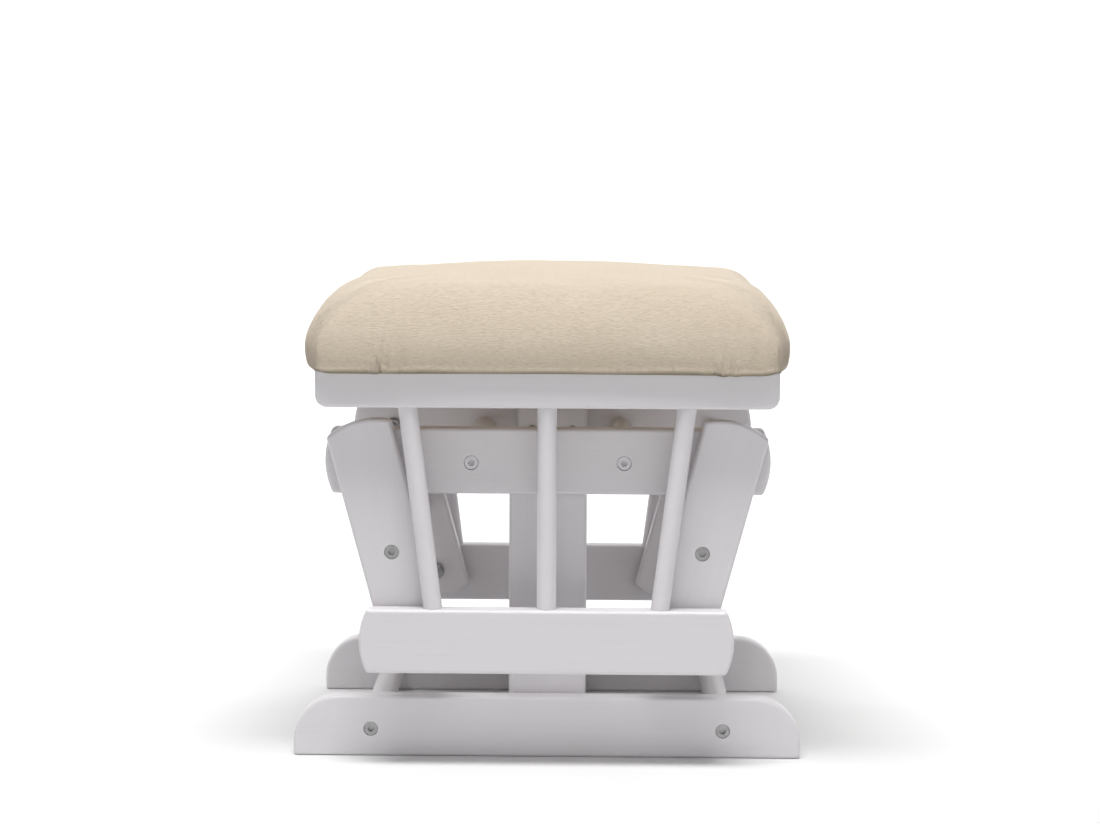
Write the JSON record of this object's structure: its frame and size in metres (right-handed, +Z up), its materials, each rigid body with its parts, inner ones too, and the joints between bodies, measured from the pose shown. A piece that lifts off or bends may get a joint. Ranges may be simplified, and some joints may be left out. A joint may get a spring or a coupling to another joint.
{
  "type": "glider ottoman",
  "caption": "Glider ottoman: a spindled seat frame with a padded fabric cushion hangs on swing arms from a fixed wooden base and glides from side to side.",
  "frame": {"origin": "on the floor, below the middle of the base", "axes": "+X along the glide and the floor rails, +Y from front to back, +Z up"},
  "size_m": [0.432, 0.391, 0.418],
  "materials": {
    "painted_wood": "satin",
    "bare_wood": "matte",
    "cushion_fabric": "matte",
    "zinc_plated_steel": "satin",
    "painted_steel": "satin",
    "bearing_steel": "polished"
  },
  "bodies": {
    "base": {"front_floor_rail": "painted_wood", "front_post": "painted_wood", "front_hanger_board": "painted_wood", "back_floor_rail": "painted_wood", "back_post": "painted_wood", "back_hanger_board": "painted_wood", "left_floor_stretcher": "painted_wood", "left_hanger_stretcher": "painted_wood", "right_floor_stretcher": "painted_wood", "right_hanger_stretcher": "painted_wood", "floor_rail_bolts": "zinc_plated_steel", "hanger_board_bolts": "painted_steel", "base_threaded_inserts": "zinc_plated_steel", "post_screws": "zinc_plated_steel", "upper_pivot_studs": "zinc_plated_steel", "upper_pivot_flange_nuts": "zinc_plated_steel", "upper_bearing_inner_rings": "bearing_steel"},
    "left_arms": {"left_front_swing_arm": "painted_wood", "left_back_swing_arm": "painted_wood", "left_arm_stretcher": "painted_wood", "left_arm_bolts": "zinc_plated_steel", "left_arm_threaded_inserts": "zinc_plated_steel", "left_upper_bearing_outer_rings": "bearing_steel", "left_lower_pivot_studs": "zinc_plated_steel", "left_lower_pivot_flange_nuts": "zinc_plated_steel", "left_lower_bearing_inner_rings": "bearing_steel"},
    "right_arms": {"right_front_swing_arm": "painted_wood", "right_back_swing_arm": "painted_wood", "right_arm_stretcher": "painted_wood", "right_arm_bolts": "zinc_plated_steel", "right_arm_threaded_inserts": "zinc_plated_steel", "right_upper_bearing_outer_rings": "bearing_steel", "right_lower_pivot_studs": "zinc_plated_steel", "right_lower_pivot_flange_nuts": "zinc_plated_steel", "right_lower_bearing_inner_rings": "bearing_steel", "right_lower_bearing_outer_rings": "bearing_steel"},
    "seat": {"front_top_rail": "painted_wood", "front_lower_rail": "painted_wood", "front_cleat": "bare_wood", "front_left_spindle": "painted_wood", "front_middle_spindle": "painted_wood", "front_right_spindle": "painted_wood", "back_top_rail": "painted_wood", "back_lower_rail": "painted_wood", "back_cleat": "bare_wood", "back_left_spindle": "painted_wood", "back_middle_spindle": "painted_wood", "back_right_spindle": "painted_wood", "left_end_rail": "painted_wood", "right_end_rail": "painted_wood", "slat_1": "bare_wood", "slat_2": "bare_wood", "slat_3": "bare_wood", "slat_4": "bare_wood", "slat_screws": "zinc_plated_steel", "cleat_screws": "zinc_plated_steel", "end_rail_dowels": "bare_wood", "left_lower_bearing_outer_rings": "bearing_steel", "cushion": "cushion_fabric"}
  },
  "joints": [
    {"name": "glide", "type": "hinge", "parent": "base", "child": "left_arms", "pos_m": [-0.1505, 0, 0.254], "axis": [0, -1, 0], "range_deg": [-22, 26]},
    {"name": "right_arm_swing", "type": "hinge", "parent": "base", "child": "right_arms", "pos_m": [0.1505, 0, 0.254], "axis": [0, -1, 0], "range_deg": [-22, 26]},
    {"name": "seat_swing", "type": "hinge", "parent": "left_arms", "child": "seat", "pos_m": [-0.1122, 0, 0.112], "axis": [0, -1, 0], "range_deg": [-35, 30]}
  ],
  "couplings": [
    {"joint": "right_arm_swing", "follows": "glide", "ratio": 1},
    {"joint": "seat_swing", "follows": "glide", "ratio": -1.3413}
  ]
}
